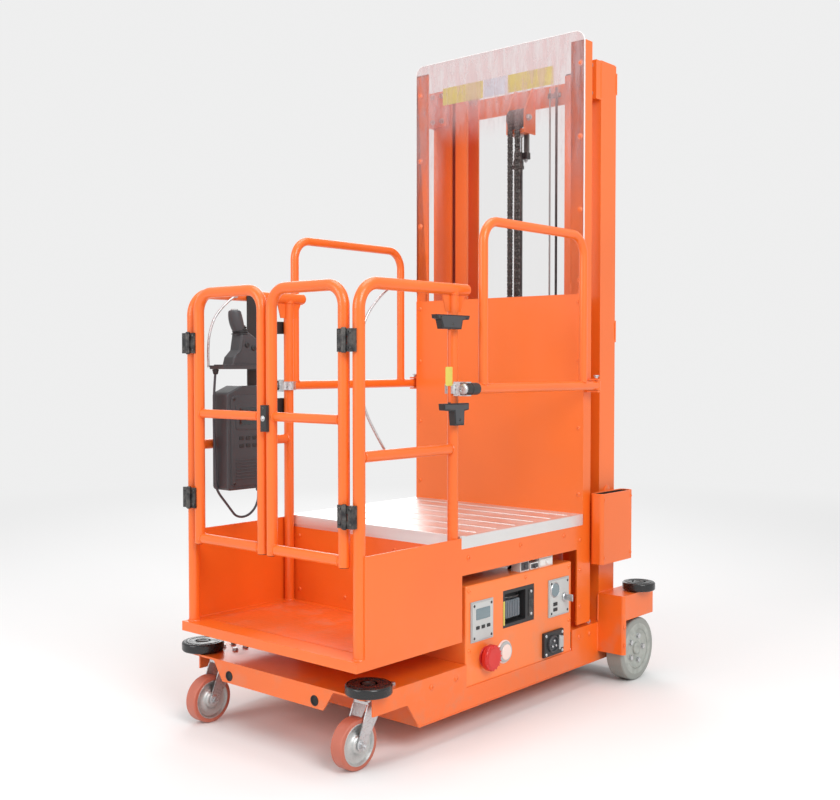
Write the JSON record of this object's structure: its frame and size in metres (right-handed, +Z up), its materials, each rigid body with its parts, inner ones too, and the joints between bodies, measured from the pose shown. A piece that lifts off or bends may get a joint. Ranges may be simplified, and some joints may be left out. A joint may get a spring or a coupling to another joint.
{
  "type": "order picker truck",
  "caption": "Compact electric order picker on wheels with a lifting operator cage, load deck, tube gates, side rails and a mast behind a clear screen.",
  "frame": {"origin": "on the floor under the middle of the truck's outline", "axes": "+X to the truck's right, -Y towards the gates, +Z up along the mast"},
  "size_m": [1.092, 1.532, 2.3549],
  "materials": {
    "orange_paint": "semi-gloss powder coat",
    "frame_orange": "semi-gloss powder coat",
    "dark_steel": "oiled and painted steel",
    "bright_steel": "ground rod",
    "zinc": "zinc plated",
    "black_plastic": "moulded",
    "grey_plastic": "moulded",
    "red_plastic": "moulded",
    "deck_sheet": "brushed sheet",
    "caster_tread": "cast polyurethane",
    "caster_core": "cast",
    "drive_tread": "solid non-marking tyre",
    "clear_sheet": "clear polycarbonate"
  },
  "bodies": {
    "chassis": {"base_frame": "orange_paint", "base_cover": "orange_paint", "power_sockets": "black_plastic", "gauge_plates": "grey_plastic", "stop_button": "red_plastic", "lowering_button": "grey_plastic", "slot_plugs": "grey_plastic", "battery_block": "black_plastic", "pump_block": "dark_steel", "drive_motors": "dark_steel", "wheel_housings": "orange_paint", "outer_mast": "orange_paint", "lift_cylinder": "dark_steel", "document_box": "orange_paint"},
    "mast_stage": {"inner_mast": "dark_steel", "mast_rollers": "dark_steel", "lift_rod": "bright_steel", "chain_sheaves": "dark_steel", "chain_front_run": "dark_steel", "chain_turn": "dark_steel", "chain_rear_run": "dark_steel"},
    "platform": {"carriage": "frame_orange", "carriage_rollers": "dark_steel", "back_panel": "frame_orange", "clear_screen": "clear_sheet", "load_deck": "deck_sheet", "deck_frame": "frame_orange", "cage_tray": "frame_orange", "guards": "frame_orange", "rail_catches": "zinc", "catch_knobs": "black_plastic", "rail_hangers": "frame_orange", "hinges_fixed": "dark_steel", "console_box": "black_plastic", "console_strap": "black_plastic", "joystick": "black_plastic", "console_cable": "dark_steel", "stay_cables": "zinc"},
    "caster_swivel_left": {"caster_fork_left": "zinc"},
    "caster_wheel_left": {"caster_hub_left": "caster_core", "caster_tyre_left": "caster_tread"},
    "drive_wheel_left": {"drive_hub_left": "caster_core", "drive_tyre_left": "drive_tread"},
    "roller_front_left": {"bumper_front_left": "black_plastic"},
    "roller_rear_left": {"bumper_rear_left": "black_plastic"},
    "gate_left": {"gate_leaf_left": "frame_orange", "hinge_moving_left": "dark_steel"},
    "rail_left": {"side_rail_left": "frame_orange"},
    "caster_swivel_right": {"caster_fork_right": "zinc"},
    "caster_wheel_right": {"caster_hub_right": "caster_core", "caster_tyre_right": "caster_tread"},
    "drive_wheel_right": {"drive_hub_right": "caster_core", "drive_tyre_right": "drive_tread"},
    "roller_front_right": {"bumper_front_right": "black_plastic"},
    "roller_rear_right": {"bumper_rear_right": "black_plastic"},
    "gate_right": {"gate_leaf_right": "frame_orange", "hinge_moving_right": "dark_steel", "gate_bolt": "black_plastic"},
    "rail_right": {"side_rail_right": "frame_orange"}
  },
  "joints": [
    {"name": "mast_lift", "type": "slide", "parent": "chassis", "child": "mast_stage", "axis": [0, 0, 1], "range_m": [0, 1.45], "deforming": ["chain_rear_run"]},
    {"name": "platform_lift", "type": "slide", "parent": "mast_stage", "child": "platform", "axis": [0, 0, 1], "range_m": [0, 1.45], "deforming": ["chain_front_run"]},
    {"name": "caster_swivel_left", "type": "hinge", "parent": "chassis", "child": "caster_swivel_left", "pos_m": [-0.332, -0.636, 0.19], "axis": [0, 0, 1], "continuous": true},
    {"name": "caster_spin_left", "type": "hinge", "parent": "caster_swivel_left", "child": "caster_wheel_left", "pos_m": [-0.332, -0.691, 0.075], "axis": [1, 0, 0], "continuous": true},
    {"name": "drive_spin_left", "type": "hinge", "parent": "chassis", "child": "drive_wheel_left", "pos_m": [-0.456, 0.651, 0.115], "axis": [1, 0, 0], "continuous": true},
    {"name": "front_roller_left", "type": "hinge", "parent": "chassis", "child": "roller_front_left", "pos_m": [-0.377, -0.676, 0.24], "axis": [0, 0, 1], "continuous": true},
    {"name": "rear_roller_left", "type": "hinge", "parent": "chassis", "child": "roller_rear_left", "pos_m": [-0.486, 0.664, 0.348], "axis": [0, 0, 1], "continuous": true},
    {"name": "gate_hinge_left", "type": "hinge", "parent": "platform", "child": "gate_left", "pos_m": [-0.352, -0.749, 1], "axis": [0, 0, -1], "range_deg": [0, 95]},
    {"name": "rail_hinge_left", "type": "hinge", "parent": "platform", "child": "rail_left", "pos_m": [-0.43, 0.452, 1.092], "axis": [0, 0, -1], "range_deg": [0, 90]},
    {"name": "caster_swivel_right", "type": "hinge", "parent": "chassis", "child": "caster_swivel_right", "pos_m": [0.332, -0.636, 0.19], "axis": [0, 0, 1], "continuous": true},
    {"name": "caster_spin_right", "type": "hinge", "parent": "caster_swivel_right", "child": "caster_wheel_right", "pos_m": [0.332, -0.691, 0.075], "axis": [1, 0, 0], "continuous": true},
    {"name": "drive_spin_right", "type": "hinge", "parent": "chassis", "child": "drive_wheel_right", "pos_m": [0.456, 0.651, 0.115], "axis": [1, 0, 0], "continuous": true},
    {"name": "front_roller_right", "type": "hinge", "parent": "chassis", "child": "roller_front_right", "pos_m": [0.377, -0.676, 0.24], "axis": [0, 0, 1], "continuous": true},
    {"name": "rear_roller_right", "type": "hinge", "parent": "chassis", "child": "roller_rear_right", "pos_m": [0.486, 0.664, 0.348], "axis": [0, 0, 1], "continuous": true},
    {"name": "gate_hinge_right", "type": "hinge", "parent": "platform", "child": "gate_right", "pos_m": [0.352, -0.749, 1], "axis": [0, 0, 1], "range_deg": [0, 95]},
    {"name": "rail_hinge_right", "type": "hinge", "parent": "platform", "child": "rail_right", "pos_m": [0.43, 0.452, 1.092], "axis": [0, 0, 1], "range_deg": [0, 90]}
  ],
  "couplings": [
    {"joint": "platform_lift", "follows": "mast_lift", "ratio": 1}
  ]
}
